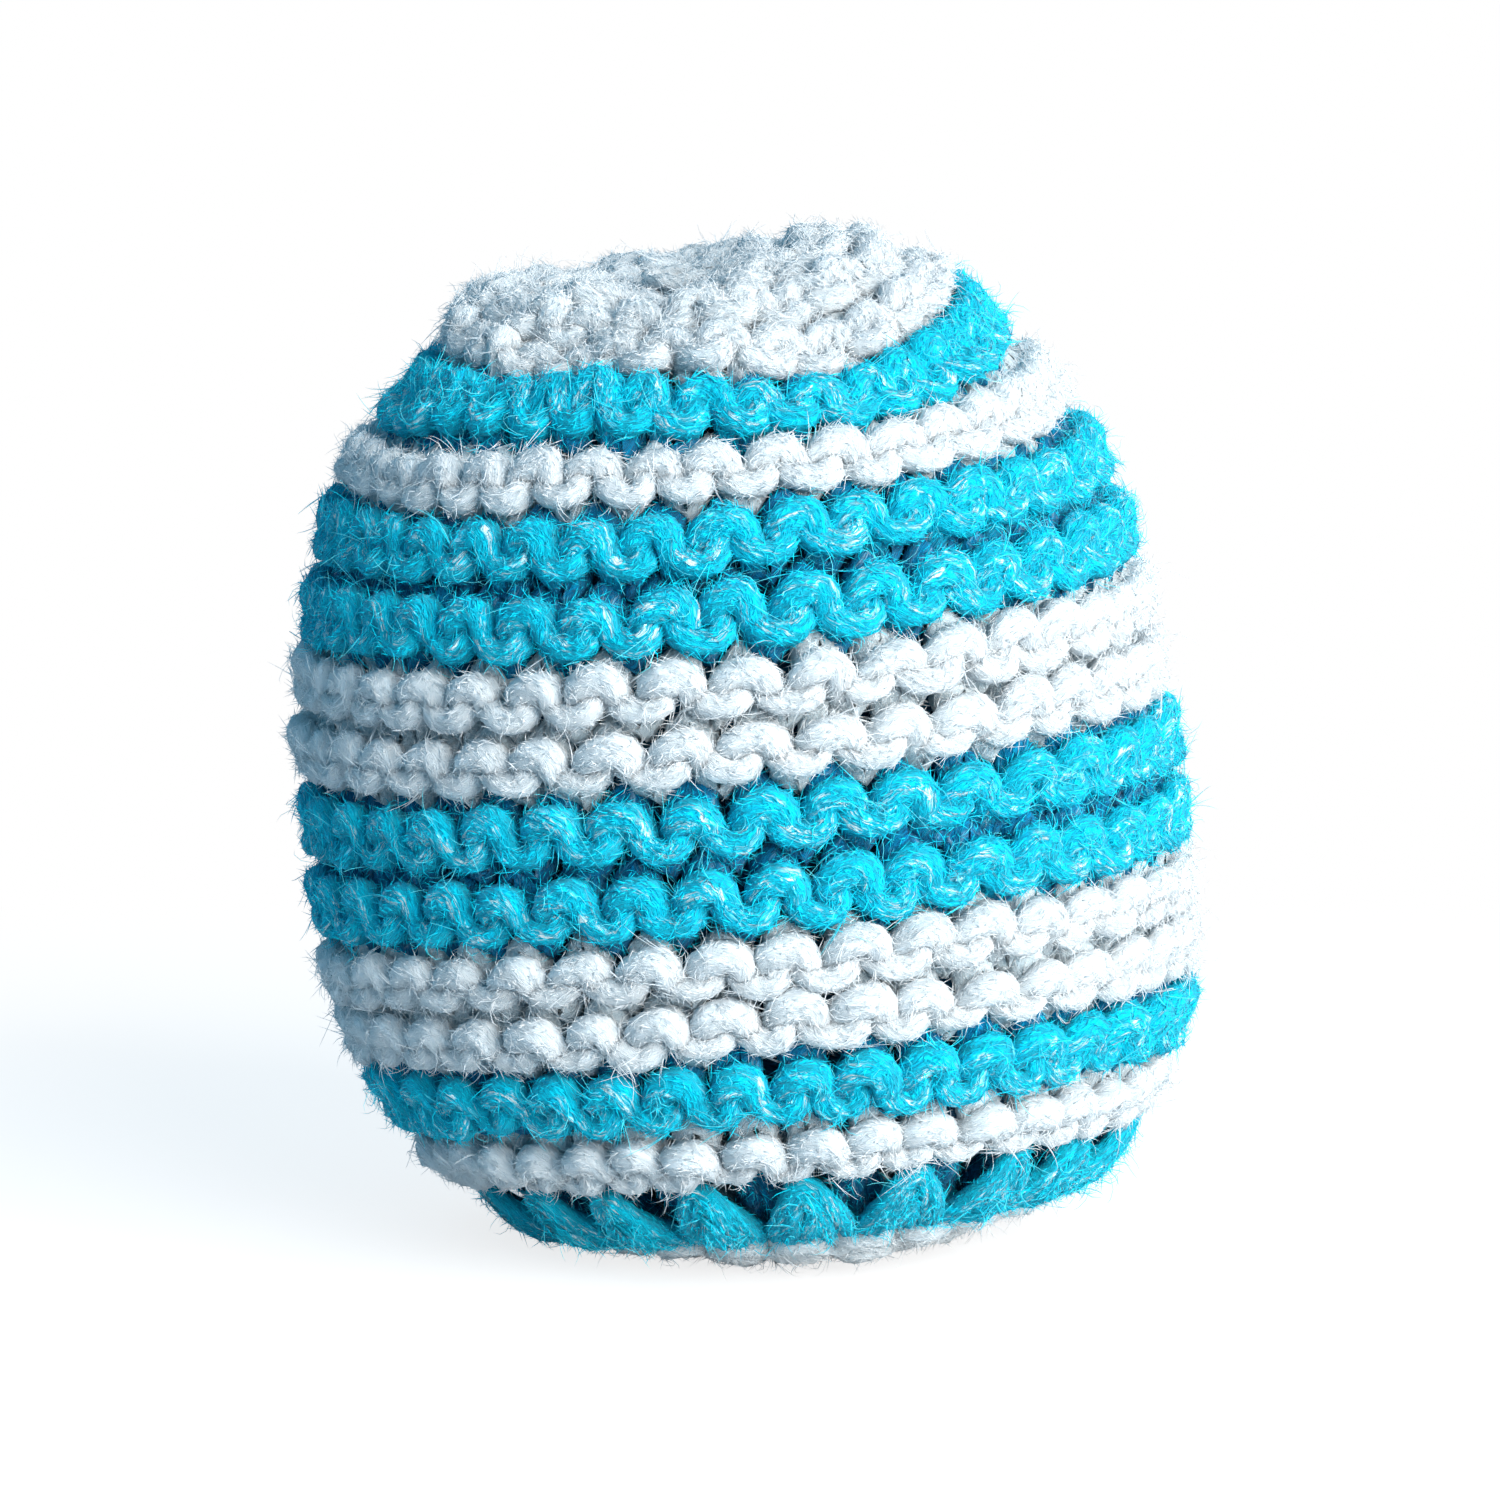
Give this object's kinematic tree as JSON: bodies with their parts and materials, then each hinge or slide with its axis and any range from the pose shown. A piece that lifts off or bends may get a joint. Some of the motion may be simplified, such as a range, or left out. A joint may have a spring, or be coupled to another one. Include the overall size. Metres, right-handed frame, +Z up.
{
  "type": "footbag",
  "caption": "Soft knitted footbag in cyan and white garter-stitch stripes: a gathered, seamed cover round a tied liner bag of plastic pellets.",
  "frame": {"origin": "centre of the footbag's outer box, at the level of the pressed-flat base that it stands on", "axes": "+Z up; -Y towards the front, as pictured; +X to the right as seen from the front. The knitting axis leans about 6 degrees from +Z towards -X."},
  "size_m": [0.054, 0.0528, 0.0607],
  "materials": {
    "cyan_yarn": "fuzzy matt wool yarn, bright cyan",
    "white_yarn": "fuzzy matt wool yarn, cool white",
    "liner_cloth": "plain woven cotton, dark blue",
    "tie_thread": "waxed polyester thread, off-white",
    "pellets": "translucent-white moulding pellets"
  },
  "bodies": {
    "root": {"crown_cap": "white_yarn", "cyan_stripe_top": "cyan_yarn", "white_stripe_top": "white_yarn", "cyan_stripe_upper": "cyan_yarn", "white_stripe_upper": "white_yarn", "cyan_stripe_lower": "cyan_yarn", "white_stripe_lower": "white_yarn", "cyan_stripe_bottom": "cyan_yarn", "white_stripe_bottom": "white_yarn", "cyan_stripe_base": "cyan_yarn", "base_cap": "white_yarn", "side_seam_yarn": "white_yarn", "crown_draw_yarn": "white_yarn", "crown_knot": "white_yarn", "base_draw_yarn": "white_yarn", "base_knot": "white_yarn", "liner_bag": "liner_cloth", "liner_tie": "tie_thread", "pellet_filling": "pellets"}
  },
  "joints": []
}
